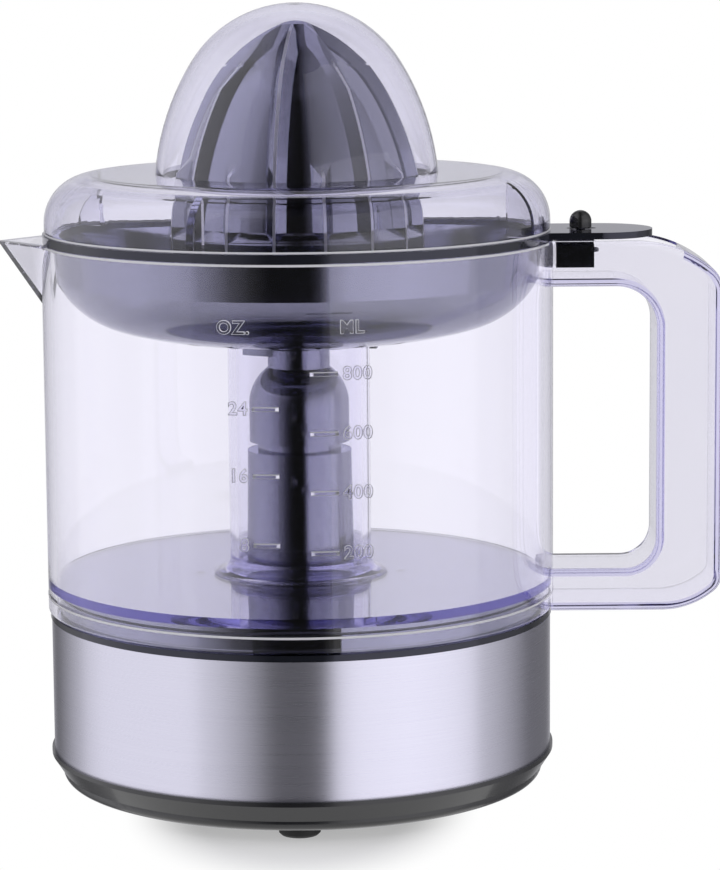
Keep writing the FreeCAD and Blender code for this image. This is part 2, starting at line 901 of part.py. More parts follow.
def handle_outlines():
    """The handle's outer wire, the wire of its finger gap, and the same two for the room inside."""
    outer_x = jug_radius + handle_reach
    top = jug_rim - handle_top_drop
    bottom = jug_bottom - handle_drop
    wires = []
    for wall in (0.0, handle_wall):
        side = outer_x - wall
        high = swept_corner(side, top - wall, handle_top_sweep - wall, handle_top_corner - wall, 1.0)
        low = swept_corner(side, bottom + wall, handle_low_sweep - wall, handle_low_corner - wall, -1.0)
        outer = outline(
            (handle_root, top - wall),
            high[0],
            (high[1], high[2]),
            (high[3], high[4]),
            low[4],
            (low[3], low[2]),
            (low[1], low[0]),
            (handle_root, bottom + wall),
        )
        inner_x = outer_x - handle_grip + wall
        gap_top = top - handle_top_arm + wall
        gap_low = bottom + handle_bottom_arm - wall
        round_top = handle_gap_top_round + wall
        round_low = handle_gap_low_round + wall
        corner = 1.0 - math.sqrt(0.5)
        on_top_round = (inner_x - round_top * corner, gap_top - round_top * corner)
        on_low_round = (inner_x - round_low * corner, gap_low + round_low * corner)
        gap = outline(
            (handle_root, gap_top),
            (inner_x - round_top, gap_top),
            (on_top_round, (inner_x, gap_top - round_top)),
            (inner_x, gap_low + round_low),
            (on_low_round, (inner_x - round_low, gap_low)),
            (handle_root, gap_low),
        )
        wires.append((outer, gap))
    return wires


def jug_handle():
    (outer, gap), (room_outer, room_gap) = handle_outlines()
    body = slab(outer, handle_width).cut(slab(gap, handle_width + cut_past))
    jug = rod(jug_radius, jug_bottom - cut_past, jug_rim + cut_past)
    rounded = [e for e in body.Edges if abs(abs(e.CenterOfMass.y) - handle_width / 2.0) < 1e-6]
    rounded = [e for e in rounded if abs(e.CenterOfMass.x - handle_root) > 1e-3]
    body = body.makeFillet(handle_edge_round, rounded)
    room_width = handle_width - 2.0 * handle_wall
    room = slab(room_outer, room_width).cut(slab(room_gap, room_width + cut_past))
    top = jug_rim - handle_top_drop
    mouth_low = top - handle_top_arm + 2.0 * handle_wall
    room_half = room_width / 2.0
    mouth = block((0.0, handle_mouth), (-room_half, room_half), (mouth_low, top + cut_past))
    return body.cut(room).cut(mouth).cut(jug)


def bowl_points(depth):
    """The bowl's profile from rim to foot, moved inwards by a depth: wall top, wall foot, arcs."""
    top = (jug_inner_radius - bowl_gap, jug_rim)
    side = (top[0] - bowl_taper, jug_rim - bowl_side)
    turn = (bowl_turn_radius, bowl_under + bowl_turn_rise)
    foot = (bowl_foot_radius, bowl_under)
    cheek = ((side[0] + turn[0]) / 2.0 + bowl_cheek_out, (side[1] + turn[1]) / 2.0 - bowl_cheek_drop)
    floor = ((turn[0] + foot[0]) / 2.0, (turn[1] + foot[1]) / 2.0 - bowl_floor_sag)
    cheek_centre = centre_of(side, cheek, turn)
    floor_centre = centre_of(turn, floor, foot)
    turn_inner = inset(turn, floor_centre, depth)
    return (
        (top[0] - depth, top[1]),
        inset(side, cheek_centre, depth),
        inset(cheek, cheek_centre, depth),
        turn_inner,
        inset(floor, floor_centre, depth),
        inset(foot, floor_centre, depth),
    )


def strainer():
    low = bowl_points(0.0)
    high = bowl_points(bowl_wall)
    collar_inner = column_radius + collar_gap
    collar_outer = collar_inner + collar_wall
    collar_bottom = bowl_under - collar_drop
    hub_outer = hub_bore_radius + hub_wall
    ledge_radius = coupler_neck_radius + hub_ledge_gap
    ledge_top = hub_bush_bottom - press_travel - press_spare
    bowl = turned(
        low[0],
        low[1],
        (low[2], low[3]),
        (low[4], low[5]),
        (collar_outer, bowl_under),
        (collar_outer, collar_bottom),
        (collar_inner, collar_bottom),
        (collar_inner, bowl_under + bowl_wall),
        (ledge_radius, bowl_under + bowl_wall),
        (ledge_radius, ledge_top),
        (hub_bore_radius, ledge_top),
        (hub_bore_radius, hub_top),
        (hub_outer, hub_top),
        (hub_outer + hub_taper, bowl_floor + 2.0 * bowl_wall),
        (collar_outer, bowl_floor + bowl_wall),
        high[5],
        (high[4], high[3]),
        (high[2], high[1]),
        high[0],
        (high[0][0], rim_top),
        (rim_radius, rim_top),
        (rim_radius, jug_rim),
    )
    half = tab_width / 2.0
    end = tab_end - half
    tab_bottom = rim_top - tab_thickness
    inside = high[0][0]
    tab = joined(
        [
            block((0.0, end), (-half, half), (tab_bottom, rim_top)),
            rod(half, tab_bottom, rim_top, (end, 0.0)),
        ]
    ).cut(rod((inside + rim_radius) / 2.0, tab_bottom, rim_top))
    guide_half = latch_guide_width / 2.0
    channel_half = guide_half - latch_guide_wall
    guide_start = jug_radius + press_spare
    guide_bottom = tab_bottom - latch_guide_depth
    guide = block((guide_start, latch_guide_end), (-guide_half, guide_half), (guide_bottom, tab_bottom))
    channel = block(
        (guide_start, latch_guide_end),
        (-channel_half, channel_half),
        (guide_bottom + latch_guide_floor, tab_bottom),
    )
    lugs = []
    lug_half = lug_length / 2.0
    lug_bottom = collar_bottom - lug_drop
    for k in range(lug_count):
        lug = block((0.0, collar_outer), (-lug_half, lug_half), (lug_bottom, collar_bottom))
        lug = lug.common(tube(collar_outer, collar_inner, lug_bottom, collar_bottom))
        lugs.append(spun(lug, 360.0 * k / lug_count))
    body = joined([bowl, tab, guide.cut(channel)] + lugs)
    slot_half = latch_stem_radius + slide_gap
    slot_near = jug_radius + tab_slot_start + slot_half
    slot_far = latch_stem_place + latch_travel + slide_gap
    slot = joined(
        [
            block((slot_near, slot_far), (-slot_half, slot_half), (tab_bottom, rim_top)),
            rod(slot_half, tab_bottom, rim_top, (slot_near, 0.0)),
            rod(slot_half, tab_bottom, rim_top, (slot_far, 0.0)),
        ]
    )
    keyway = hub_key(running_gap, hub_top + cut_past)
    cuts = [slot, keyway, spun(keyway, 180.0)]
    slit = block(
        (slot_inner_radius, slot_outer_radius),
        (-slot_width / 2.0, slot_width / 2.0),
        (bowl_under - cut_past, bowl_under + bowl_turn_rise + bowl_wall),
    )
    cuts += [spun(slit, 360.0 * (k + 0.5) / slot_count) for k in range(slot_count)]
    return body.cut(Part.makeCompound(cuts))


def hub_key(grow, top):
    """The key on one side of the sliding bush, or with grow the keyway for it."""
    half = hub_key_width / 2.0 + grow
    outer = hub_bush_radius + hub_key_depth + grow
    bottom = hub_bush_bottom - (press_travel + press_spare if grow else 0.0)
    return block((hub_bush_radius - root_sink, outer), (-half, half), (bottom, top))


def hub_bush():
    ring = rod(hub_bush_radius, hub_bush_bottom, hub_bush_top)
    keys = [spun(hub_key(0.0, hub_bush_top), 180.0 * k) for k in range(2)]
    return joined([ring] + keys).cut(rod(stem_radius + running_gap, hub_bush_bottom, hub_bush_top))


def latch_slider():
    guide_half = latch_guide_width / 2.0 - latch_guide_wall - slide_gap
    tab_bottom = rim_top - tab_thickness
    bottom = tab_bottom - latch_guide_depth + latch_guide_floor
    top = bottom + latch_plate_height
    start = jug_radius + press_spare
    nose = latch_plate_end - guide_half
    plate = joined(
        [
            block((start, nose), (-guide_half, guide_half), (bottom, top)),
            rod(guide_half, bottom, top, (nose, 0.0)),
        ]
    )
    stem = rod(latch_stem_radius, bottom, rim_top + slide_gap, (latch_stem_place, 0.0))
    return joined([plate, stem])


def latch_knob():
    base = rim_top + slide_gap
    side = knob_height - knob_radius
    dome = turned(
        (0.0, base),
        (knob_radius, base),
        (knob_radius, base + side),
        (
            (knob_radius * math.sqrt(0.5), base + side + knob_radius * math.sqrt(0.5)),
            (0.0, base + knob_height),
        ),
    )
    return dome.translated(FreeCAD.Vector(latch_stem_place, 0, 0))


def reamer_crest():
    """The crest of the ribs: nose, cheek, shoulder, flank and foot, and the centres of its two arcs."""
    nose = (reamer_nose[0], reamer_top - reamer_nose[1])
    cheek = (reamer_cheek[0], reamer_top - reamer_cheek[1])
    shoulder = (reamer_shoulder[0], reamer_top - reamer_shoulder[1])
    foot = (reamer_radius, rib_bottom)
    upper_centre = centre_of(nose, cheek, shoulder)
    leave = (shoulder[1] - upper_centre[1], upper_centre[0] - shoulder[0])
    flank = tangent_arc(shoulder, leave, foot)
    return (nose, cheek, shoulder, flank, foot), upper_centre, centre_of(shoulder, flank, foot)


def crest_at(depth):
    """The crest's points moved inwards by a depth."""
    (nose, cheek, shoulder, flank, foot), upper_centre, lower_centre = reamer_crest()
    upper = [inset(p, upper_centre, depth) for p in (nose, cheek, shoulder)]
    lower = [inset(p, lower_centre, depth) for p in (flank, foot)]
    return upper + lower


def crest_height(radius, depth):
    """The level of the crest's upper arc at a radius, moved inwards by a depth."""
    points, centre, lower_centre = reamer_crest()
    reach = math.dist(points[0], centre) - depth
    return centre[1] + math.sqrt(reach**2 - (radius - centre[0]) ** 2)


def rib_wire(depth, side):
    """The outline of a rib at one distance from its middle plane, its crest moved inwards by a depth."""
    nose, cheek, shoulder, flank, foot = crest_at(depth)
    bottom = rib_bottom - reamer_foot_slope - rib_sink
    wire = outline(
        nose,
        (cheek, shoulder),
        (flank, foot),
        (foot[0], bottom),
        (reamer_radius - rib_seat, bottom),
        (0.0, reamer_top - rib_seat),
    )
    return wire.translated(FreeCAD.Vector(0, side, 0))


def reamer_rib():
    """One roof-shaped rib along the whole crest, in the plane of the handle."""
    sunk = rib_depth + rib_sink
    sections = ((sunk, -rib_root), (0.0, -rib_crest), (0.0, rib_crest), (sunk, rib_root))
    return Part.makeLoft([rib_wire(*section) for section in sections], True, True)


def below(radius, drop):
    """Everything under a cone that falls away from the axis and meets a radius at a drop from the tip."""
    height = reamer_height - drop + radius
    return Part.makeCone(height, 0.0, height, FreeCAD.Vector(0, 0, reamer_bottom))


def reamer_wedge(step):
    """A slice of the reamer's space that holds one long, one middle and two short ribs."""
    low = reamer_bottom - stem_length
    slice_start = -step * 3.0 / 8.0
    wedge = Part.makeCylinder(2.0 * reamer_radius, reamer_top - low, FreeCAD.Vector(0, 0, low), up, step)
    return spun(wedge, slice_start)


def reamer_body():
    """The reamer without its ribs and filled in: nose, flank, and the band that the ribs stand on."""
    nose, cheek, shoulder, flank, foot = crest_at(rib_depth)
    brow = (nose_radius, crest_height(nose_radius, 0.0))
    crown = tangent_arc((0.0, reamer_top), (1.0, 0.0), brow)
    nose_edge = nose_radius + nose_flank
    return turned(
        (0.0, reamer_top),
        (crown, brow),
        (nose_edge, crest_height(nose_edge, rib_depth)),
        (cheek, shoulder),
        (flank, foot),
        (reamer_radius, rib_bottom - reamer_foot_slope),
        (reamer_radius, reamer_bottom),
        (0.0, reamer_bottom),
    )


def reamer_room():
    """The hollow between the reamer's shell and its stem."""
    depth = rib_depth + reamer_wall
    nose, cheek, shoulder, flank, foot = crest_at(depth)
    return turned(
        (stem_radius, reamer_bottom),
        (stem_radius, crest_height(stem_radius, depth)),
        (cheek, shoulder),
        (flank, foot),
        (foot[0], reamer_bottom),
    )


def reamer_cone():
    rib = reamer_rib()
    middle_rib = rib.common(below(reamer_cheek[0], middle_rib_drop))
    short_rib = rib.common(below(reamer_shoulder[0] + rib_depth, short_rib_drop))
    step = 360.0 / long_ribs
    ribs = [rib, spun(middle_rib, step / 2.0), spun(short_rib, step / 4.0), spun(short_rib, -step / 4.0)]
    sector = reamer_body().common(reamer_wedge(step)).multiFuse(ribs)
    body = joined([spun(sector, rib_turn + step * k) for k in range(long_ribs)])
    stem = rod(stem_radius, stem_bottom, reamer_bottom + stem_collar)
    collar = rod(stem_radius + stem_collar, hub_bush_top, reamer_bottom + stem_collar)
    socket = hexagon(drive_hex_flats + 2.0 * socket_gap, stem_bottom, hex_top)
    return body.cut(reamer_room()).multiFuse([stem, collar]).cut(socket).removeSplitter()


def dome_steps(depth):
    """The dome's profile from tip to flange, moved inwards by a depth."""
    cheek = (dome_cheek_radius, lid_top - dome_cheek_drop)
    crown = (cheek[0] ** 2 + dome_cheek_drop**2) / (2.0 * dome_cheek_drop)
    centre = (0.0, lid_top - crown)
    leave = (cheek[1] - centre[1], centre[0] - cheek[0])
    foot = (dome_radius, lid_flange_top)
    flank = tangent_arc(cheek, leave, foot)
    flank_centre = centre_of(cheek, flank, foot)
    half = math.atan2(cheek[0], cheek[1] - centre[1]) / 2.0
    brow = (crown * math.sin(half), centre[1] + crown * math.cos(half))
    return (
        (0.0, lid_top - depth),
        inset(brow, centre, depth),
        inset(cheek, centre, depth),
        inset(flank, flank_centre, depth),
        inset(foot, flank_centre, depth),
    )


def lid_solid(depth):
    """The lid filled in, moved inwards by a depth."""
    tip, brow, cheek, flank, foot = dome_steps(depth)
    side = lid_radius - depth
    top = lid_flange_top - depth
    turn = lid_shoulder - depth
    centre = (lid_radius - lid_shoulder, lid_flange_top - lid_shoulder)
    corner = turn * math.sqrt(0.5)
    low = rim_top - (cut_past if depth else 0.0)
    return turned(
        (0.0, low),
        (side, low),
        (side, centre[1]),
        ((centre[0] + corner, centre[1] + corner), (centre[0], top)),
        (foot[0], top),
        foot,
        (flank, cheek),
        (brow, tip),
    )


def dome_lid():
    shell = lid_solid(0.0).cut(lid_solid(lid_wall))
    half = lid_rib_width / 2.0
    edge = lid_radius - lid_wall / 2.0
    rib = block((lid_rib_start, edge), (-half, half), (rim_top, lid_flange_top))
    rib = rib.common(lid_solid(lid_wall / 2.0))
    ribs = [spun(rib, lid_rib_turn + 360.0 * k / lid_rib_count) for k in range(lid_rib_count)]
    return joined([shell] + ribs)


nodes = (
    rubber_feet,
    bottom_tray,
    steel_band,
    top_deck,
    tray_screws,
    cord_gland,
    gear_plate,
    gear_plate_screws,
    lower_bush,
    upper_bush,
    shaft_seal,
    motor_can,
    motor_coil,
    rotor_magnet,
    rotor_shaft,
    motor_pinion,
    idler_axle,
    idler_gear,
    output_gear,
    drive_shaft,
    drive_coupler,
    thrust_cup,
    return_spring,
    switch_body,
    switch_plunger,
    jug_vessel,
    jug_handle,
    strainer,
    hub_bush,
    latch_slider,
    latch_knob,
    reamer_cone,
    dome_lid,
)

os.makedirs("parts", exist_ok=True)
for make in nodes:
    shape = make()
    solids = len(shape.Solids)
    print(f"{make.__name__}: {solids} solids, valid {shape.isValid()}, volume {shape.Volume:.1f}")
    shape.exportStep(f"parts/{make.__name__}.step")
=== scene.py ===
import math

import bmesh
import bpy
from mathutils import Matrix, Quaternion, Vector


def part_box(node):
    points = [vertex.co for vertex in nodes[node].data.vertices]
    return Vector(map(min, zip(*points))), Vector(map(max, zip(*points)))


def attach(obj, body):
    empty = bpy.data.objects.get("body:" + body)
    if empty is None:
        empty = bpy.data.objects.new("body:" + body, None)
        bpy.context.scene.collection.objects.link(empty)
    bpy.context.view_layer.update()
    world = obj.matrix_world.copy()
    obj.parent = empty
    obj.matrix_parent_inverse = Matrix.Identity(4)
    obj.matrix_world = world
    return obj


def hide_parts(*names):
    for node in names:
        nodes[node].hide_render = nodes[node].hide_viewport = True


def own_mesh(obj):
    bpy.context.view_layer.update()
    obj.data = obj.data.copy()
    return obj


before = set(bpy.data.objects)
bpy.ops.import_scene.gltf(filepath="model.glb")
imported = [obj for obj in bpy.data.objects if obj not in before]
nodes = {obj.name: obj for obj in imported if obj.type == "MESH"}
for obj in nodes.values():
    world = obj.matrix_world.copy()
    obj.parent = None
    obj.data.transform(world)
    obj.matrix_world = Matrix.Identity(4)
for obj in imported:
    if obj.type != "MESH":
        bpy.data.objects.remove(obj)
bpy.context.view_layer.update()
scene = bpy.context.scene
scene.view_settings.view_transform = "Standard"
# Enough for light to pass all the clear walls of the lid, the jug and its column
wall_bounces = 24
scene.cycles.max_bounces = wall_bounces
scene.cycles.glossy_bounces = wall_bounces
scene.cycles.transmission_bounces = wall_bounces


def placed(name, data):
    """A new object in the scene."""
    piece = bpy.data.objects.new(name, data)
    scene.collection.objects.link(piece)
    return piece


# Materials

unscaled = (1.0, 1.0, 1.0)
flattened = (1.0, 1.0, 0.0)
noise_low, noise_high = 0.3, 0.7


def new_material(name):
    made = bpy.data.materials.new(name)
    made.use_nodes = True
    return made, made.node_tree, made.node_tree.nodes["Principled BSDF"]


def set_inputs(node, **sockets):
    """Sets input sockets by name, where _ stands for a space."""
    for name, value in sockets.items():
        node.inputs[name.replace("_", " ")].default_value = value


def add(tree, kind, **sockets):
    node = tree.nodes.new(kind)
    set_inputs(node, **sockets)
    return node


def math_node(tree, operation, *values):
    """A maths node, each of whose inputs is a number or a socket."""
    node = tree.nodes.new("ShaderNodeMath")
    node.operation = operation
    for k, value in enumerate(values):
        if isinstance(value, float):
            node.inputs[k].default_value = value
        else:
            tree.links.new(value, node.inputs[k])
    return node.outputs["Value"]


def vector_node(tree, operation, *sources):
    """A vector maths node with its inputs linked."""
    node = tree.nodes.new("ShaderNodeVectorMath")
    node.operation = operation
    for k, source in enumerate(sources):
        tree.links.new(source, node.inputs[k])
    return node


def split(tree, source):
    """The X, Y and Z of a vector."""
    parts = tree.nodes.new("ShaderNodeSeparateXYZ")
    tree.links.new(source, parts.inputs["Vector"])
    return parts.outputs


def coordinates(tree, stretch):
    """Object coordinates in metres, scaled per axis."""
    place = tree.nodes.new("ShaderNodeTexCoord")
    mapping = add(tree, "ShaderNodeMapping", Scale=stretch)
    tree.links.new(place.outputs["Object"], mapping.inputs["Vector"])
    return mapping.outputs["Vector"]


def noise(tree, stretch, scale, detail=3.0, roughness=0.55):
    texture = add(tree, "ShaderNodeTexNoise", Scale=scale, Detail=detail, Roughness=roughness)
    tree.links.new(coordinates(tree, stretch), texture.inputs["Vector"])
    return texture.outputs["Fac"]


def ranged(tree, source, low, high, start=0.0, end=1.0, blend="LINEAR"):
    """A value taken from one range to another."""
    node = add(tree, "ShaderNodeMapRange", From_Min=low, From_Max=high, To_Min=start, To_Max=end)
    node.interpolation_type = blend
    tree.links.new(source, node.inputs["Value"])
    return node.outputs["Result"]


def vary_colour(tree, shader, source, low, high):
    """A base colour that goes with a noise from one colour to another."""
    ramp = tree.nodes.new("ShaderNodeValToRGB")
    ramp.color_ramp.elements[0].position = noise_low
    ramp.color_ramp.elements[0].color = (*low, 1.0)
    ramp.color_ramp.elements[1].position = noise_high
    ramp.color_ramp.elements[1].color = (*high, 1.0)
    tree.links.new(source, ramp.inputs["Fac"])
    tree.links.new(ramp.outputs["Color"], shader.inputs["Base Color"])


def vary_gloss(tree, shader, source, low, high):
    """A roughness that goes with a noise from one value to another."""
    level = ranged(tree, source, noise_low, noise_high, low, high)
    tree.links.new(level, shader.inputs["Roughness"])


def bump(tree, shader, source, strength, distance):
    relief = add(tree, "ShaderNodeBump", Strength=strength, Distance=distance)
    tree.links.new(source, relief.inputs["Height"])
    tree.links.new(relief.outputs["Normal"], shader.inputs["Normal"])


def clear_plastic(name, depth_colour, density):
    """A clear plastic with a faint violet tint that deepens where a wall is seen edge on."""
    made, tree, shader = new_material(name)
    set_inputs(shader, Transmission_Weight=1.0, IOR=1.5)
    cloud = noise(tree, unscaled, scale=40.0)
    vary_colour(tree, shader, cloud, low=(0.96, 0.952, 0.992), high=(0.968, 0.962, 0.995))
    vary_gloss(tree, shader, cloud, low=0.0, high=0.02)
    waves = noise(tree, unscaled, scale=25.0, detail=1.0)
    bump(tree, shader, waves, strength=0.03, distance=0.0004)
    tint = add(tree, "ShaderNodeVolumeAbsorption", Color=(*depth_colour, 1.0), Density=density)
    tree.links.new(tint.outputs["Volume"], tree.nodes["Material Output"].inputs["Volume"])
    return made


def frost_spout(finish, start, share):
    """Turns what lies past a start along -X, the spout with its solid edges, milky by a share."""
    blend = 0.001
    tree = finish.node_tree
    across = split(tree, coordinates(tree, unscaled))["X"]
    level = ranged(tree, across, start - blend, start, 1.0 - share, 1.0)
    tree.links.new(level, tree.nodes["Principled BSDF"].inputs["Transmission Weight"])


def frost_slopes(finish, share):
    """Turns the faces that don't look straight out from the axis milky, by a share."""
    sloped, straight = 0.8, 0.97
    tree = finish.node_tree
    outwards = vector_node(tree, "NORMALIZE", coordinates(tree, flattened))
    facing = tree.nodes.new("ShaderNodeNewGeometry")
    lean = vector_node(tree, "DOT_PRODUCT", outwards.outputs["Vector"], facing.outputs["Normal"])
    level = ranged(tree, lean.outputs["Value"], sloped, straight, 1.0 - share, 1.0)
    tree.links.new(level, tree.nodes["Principled BSDF"].inputs["Transmission Weight"])


def moulded(name, low, high, gloss, coat, grain=900.0, relief=0.06, ior=1.5, tint=(1.0, 1.0, 1.0)):
    """A moulded plastic or rubber, with faint flow marks in its colour and a fine grain."""
    made, tree, shader = new_material(name)
    set_inputs(shader, IOR=ior, Specular_Tint=(*tint, 1.0), Coat_Weight=coat, Coat_Roughness=0.08)
    flow = noise(tree, (1.0, 1.0, 1.6), scale=30.0)
    fine = noise(tree, unscaled, grain, detail=2.0)
    vary_colour(tree, shader, flow, low, high)
    vary_gloss(tree, shader, flow, *gloss)
    bump(tree, shader, fine, relief, distance=0.0001)
    return made


def polish(finish, inner, outer, lean):
    """A painted sheen: a reflectivity for upright faces and a stronger one for faces that look up,
    as two pairs.

    The first pair is for what lies inside the strainer's rim, the second, a weaker pair that paints
    the rim darker as painted shade, for the rim.
    """
    rim_start, rim_full = 0.068, 0.0684
    tree = finish.node_tree
    facing = tree.nodes.new("ShaderNodeNewGeometry")
    upwards = split(tree, facing.outputs["Normal"])["Z"]
    reach = vector_node(tree, "LENGTH", coordinates(tree, flattened)).outputs["Value"]
    mix = tree.nodes.new("ShaderNodeMix")
    tree.links.new(ranged(tree, reach, rim_start, rim_full), mix.inputs[0])
    for k, (side, top) in enumerate((inner, outer)):
        tree.links.new(ranged(tree, upwards, *lean, side, top), mix.inputs[2 + k])
    tree.links.new(mix.outputs[0], tree.nodes["Principled BSDF"].inputs["IOR"])


def pale_crests(finish, turn, ribs, top, colour):
    """Painted highlights: white lines in the base colour along the crests, with the ribs as pairs
    of a spacing in degrees and a drop below the top.
    """
    line_edge, line_core = 0.00046, 0.00036
    fade = 0.002
    tree = finish.node_tree
    shader = tree.nodes["Principled BSDF"]
    across, along, height = split(tree, coordinates(tree, unscaled))
    squares = [math_node(tree, "POWER", side, 2.0) for side in (across, along)]
    reach = math_node(tree, "SQRT", math_node(tree, "ADD", *squares))
    bearing = math_node(tree, "ARCTAN2", along, across)
    angle = math_node(tree, "SUBTRACT", bearing, math.radians(turn))
    share = None
    for spacing, drop in ribs:
        aside = math_node(tree, "PINGPONG", angle, math.radians(spacing / 2.0))
        line = ranged(tree, math_node(tree, "MULTIPLY", aside, reach), line_edge, line_core)
        below = ranged(tree, height, top - drop, top - drop - fade)
        line = math_node(tree, "MULTIPLY", line, below)
        share = line if share is None else math_node(tree, "MAXIMUM", share, line)
    mix = tree.nodes.new("ShaderNodeMix")
    mix.data_type = "RGBA"
    tree.links.new(share, mix.inputs["Factor"])
    tree.links.new(shader.inputs["Base Color"].links[0].from_socket, mix.inputs[6])
    mix.inputs[7].default_value = (*colour, 1.0)
    tree.links.new(mix.outputs[2], shader.inputs["Base Color"])


def brushed(name, low, high, gloss, stretch, anisotropy):
    """A metal with brush lines, which run along the axes with a small stretch."""
    made, tree, shader = new_material(name)
    set_inputs(shader, Metallic=1.0, Anisotropic=anisotropy, Anisotropic_Rotation=0.25)
    lines = noise(tree, stretch, scale=60.0, detail=6.0, roughness=0.7)
    vary_colour(tree, shader, lines, low, high)
    vary_gloss(tree, shader, lines, *gloss)
    tangent = tree.nodes.new("ShaderNodeTangent")
    tangent.direction_type = "RADIAL"
    tangent.axis = "Z"
    tree.links.new(tangent.outputs["Tangent"], shader.inputs["Tangent"])
    bump(tree, shader, lines, strength=0.05, distance=0.00005)
    return made


def smoke_plastic(name, top_sheen_ior, lean):
    """The dark grey plastic of the inner pieces, with a painted sheen, a deeper reflection, on the
    faces that look up.
    """
    side_gloss = 3.6
    made = moulded(
        name,
        low=(0.006, 0.007, 0.01),
        high=(0.009, 0.01, 0.014),
        gloss=(0.06, 0.09),
        coat=0.2,
        grain=400.0,
        relief=0.002,
        ior=side_gloss,
        tint=(0.75, 0.75, 1.0),
    )
    # Painted sheen on the faces that look up and painted shade on the rim, both set through the
    # reflectivity
    polish(made, inner=(side_gloss, top_sheen_ior), outer=(1.5, 3.0), lean=lean)
    return made


violet = (0.45, 0.42, 0.74)
wall_density = 30.0
mark_frost = 0.7
clear = clear_plastic("clear_plastic", violet, wall_density)
frost_spout(clear, start=-0.0698, share=0.12)
mark_clear = clear_plastic("mark_plastic", violet, wall_density)
frost_slopes(mark_clear, mark_frost)
heading_clear = clear_plastic("heading_plastic", violet, density=0.0)
frost_slopes(heading_clear, mark_frost)
# Milky finish of the edge beads, which paints them as pale highlight lines besides the light they
# catch
edge_highlight_clear = clear_plastic("edge_plastic", violet, wall_density)
set_inputs(edge_highlight_clear.node_tree.nodes["Principled BSDF"], Transmission_Weight=0.25)
lid_clear = clear_plastic("lid_plastic", (0.46, 0.44, 0.68), density=90.0)

level_faces = (0.8, 0.98)
bowl_faces = (0.05, 0.4)
smoke = smoke_plastic("smoke_plastic", 6.5, level_faces)
strainer_smoke = smoke_plastic("strainer_plastic", 14.0, bowl_faces)
reamer_smoke = smoke_plastic("reamer_plastic", 6.5, level_faces)
reamer_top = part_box("reamer_cone")[1].z
# Painted highlights along the reamer's rib crests, as white lines in its base colour
pale_crests(
    reamer_smoke,
    turn=-99.2,
    ribs=((90.0, 0.001), (45.0, 0.0105), (22.5, 0.038)),
    top=reamer_top,
    colour=(1.0, 1.0, 1.0),
)

base_plastic = moulded(
    "base_plastic", (0.007, 0.007, 0.009), (0.011, 0.011, 0.014), gloss=(0.2, 0.28), coat=0.3
)
knob_plastic = moulded(
    "knob_plastic", (0.008, 0.008, 0.009), (0.012, 0.012, 0.013), gloss=(0.2, 0.3), coat=0.3
)
rubber = moulded(
    "rubber",
    (0.012, 0.012, 0.012),
    (0.02, 0.02, 0.02),
    gloss=(0.6, 0.75),
    coat=0.0,
    grain=600.0,
    relief=0.3,
)
nylon = moulded("gear_nylon", (0.72, 0.71, 0.64), (0.8, 0.79, 0.72), gloss=(0.4, 0.5), coat=0.0)
switch_black = moulded(
    "switch_plastic", (0.02, 0.02, 0.022), (0.03, 0.03, 0.033), gloss=(0.4, 0.5), coat=0.0
)
ferrite = moulded(
    "ferrite",
    (0.03, 0.03, 0.033),
    (0.05, 0.05, 0.053),
    gloss=(0.6, 0.75),
    coat=0.0,
    grain=700.0,
    relief=0.4,
)
band_steel = brushed(
    "band_steel", (0.58, 0.57, 0.66), (0.63, 0.62, 0.71), (0.26, 0.31), (0.4, 0.4, 90.0), 0.8
)
plain_steel = brushed(
    "plain_steel", (0.5, 0.5, 0.51), (0.58, 0.58, 0.59), (0.25, 0.35), (1.0, 1.0, 30.0), 0.3
)
plated_steel = brushed(
    "plated_steel", (0.5, 0.51, 0.52), (0.6, 0.61, 0.62), (0.3, 0.42), (1.0, 1.0, 20.0), 0.2
)
bronze = brushed(
    "bearing_bronze", (0.45, 0.32, 0.16), (0.55, 0.4, 0.2), (0.4, 0.5), (1.0, 1.0, 20.0), 0.1
)
copper = brushed(
    "winding", (0.42, 0.17, 0.07), (0.6, 0.26, 0.11), (0.3, 0.4), (1.0, 1.0, 40.0), 0.2
)

finishes = {
    clear: ("jug_vessel", "jug_handle"),
    lid_clear: ("dome_lid",),
    reamer_smoke: ("reamer_cone",),
    strainer_smoke: ("strainer",),
    smoke: ("drive_coupler", "top_deck", "latch_slider"),
    base_plastic: ("bottom_tray",),
    knob_plastic: ("latch_knob",),
    rubber: ("rubber_feet", "cord_gland", "shaft_seal"),
    nylon: ("motor_pinion", "idler_gear", "output_gear", "thrust_cup", "hub_bush"),
    switch_black: ("switch_body", "switch_plunger"),
    ferrite: ("rotor_magnet",),
    band_steel: ("steel_band",),
    plain_steel: (
        "tray_screws",
        "gear_plate",
        "gear_plate_screws",
        "rotor_shaft",
        "idler_axle",
        "drive_shaft",
        "return_spring",
    ),
    plated_steel: ("motor_can",),
    bronze: ("lower_bush", "upper_bush"),
    copper: ("motor_coil",),
}
for finish, names in finishes.items():
    for name in names:
        mesh = nodes[name].data
        mesh.materials.clear()
        mesh.materials.append(finish)

# A hair of air under the jug's floor, so that the floor stays clear where it rests on the deck
deck_gap = 0.00006
air_gap = nodes["top_deck"].modifiers.new("air_gap", "DISPLACE")
air_gap.mid_level = 0.0
air_gap.strength = -deck_gap

# The return spring, as a copy with a mesh of its own that rides the base, in place of the part
coil = placed("spring_coil", nodes["return_spring"].data.copy())
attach(coil, "base")
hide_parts("return_spring")
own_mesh(coil)


# Graduations on the front of the jug

jug_low, jug_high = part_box("jug_vessel")
jug_radius = -jug_low.y
mark_sink = 0.0001
mark_relief = 0.0006
mark_slope = 0.00016
dash_half = 0.0006
letter_height = 0.0033
letter_share = 0.7
letter_weight = 0.00004
heading_level = 0.1354


